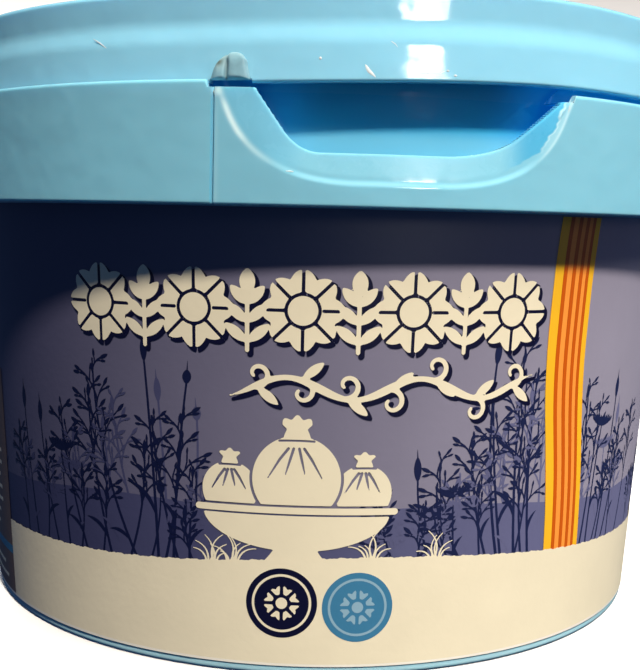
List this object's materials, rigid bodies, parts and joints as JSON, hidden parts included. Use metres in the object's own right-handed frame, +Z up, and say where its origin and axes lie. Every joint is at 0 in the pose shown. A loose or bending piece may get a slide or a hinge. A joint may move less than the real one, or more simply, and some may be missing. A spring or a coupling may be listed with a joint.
{
  "type": "lidded cheese tub",
  "caption": "Shut round plastic dairy tub with a printed body, a proud collar with a finger scoop, and a press-on lid.",
  "frame": {"origin": "centre of the footprint, on the surface that the tub stands on", "axes": "+Z up; -Y out through the middle of the finger scoop; +X to the right when the scoop is faced"},
  "size_m": [0.118, 0.118, 0.0832],
  "materials": {
    "tub_plastic": "light blue moulded polypropylene, smooth gloss",
    "lid_plastic": "light blue moulded polypropylene, smooth gloss with small scuffs",
    "printed_label": "in-mould printed film, satin with a fine pebble"
  },
  "bodies": {
    "root": {"tub": "tub_plastic", "lid": "lid_plastic"}
  },
  "joints": []
}
